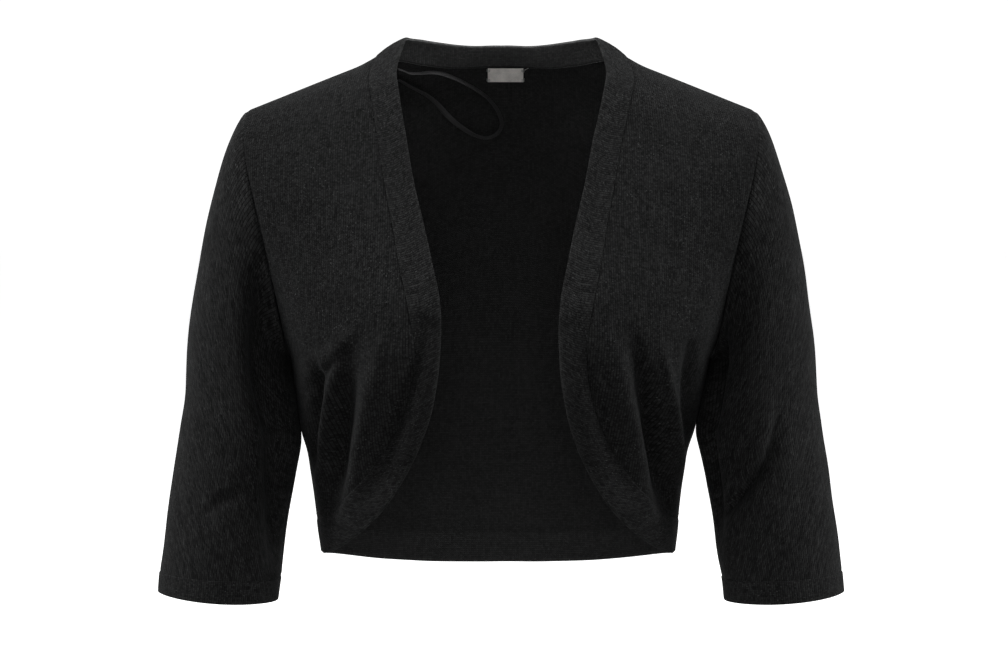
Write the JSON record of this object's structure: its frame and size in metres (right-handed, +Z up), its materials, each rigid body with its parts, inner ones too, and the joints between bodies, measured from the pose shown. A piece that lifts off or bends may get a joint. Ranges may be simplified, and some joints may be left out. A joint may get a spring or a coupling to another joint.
{
  "type": "cardigan",
  "caption": "Cropped open-front knit cardigan with elbow-length sleeves, curved fronts and narrow rib bands, filled out as worn.",
  "frame": {"origin": "midway between the two side neck points, on the shoulder seams at the edge of the neck bands", "axes": "+Z up, the front faces -Y, +X is the wearer's left"},
  "size_m": [0.5198, 0.2143, 0.4261],
  "materials": {
    "panel_knit": "matt charcoal-black fine plain knit with a trace of pale fibre",
    "rib_knit": "matt charcoal-black close rib, two layers thick",
    "ribbon": "narrow black satin ribbon, slight sheen",
    "woven_label": "grey woven label, bare"
  },
  "bodies": {
    "root": {"back_panel": "panel_knit", "band_back_neck": "rib_knit", "band_front_left": "rib_knit", "band_front_right": "rib_knit", "cuff_left": "rib_knit", "cuff_right": "rib_knit", "front_left": "panel_knit", "front_right": "panel_knit", "hanger_loop": "ribbon", "hem_band_back": "rib_knit", "neck_label": "woven_label", "sleeve_left": "panel_knit", "sleeve_right": "panel_knit"}
  },
  "joints": []
}
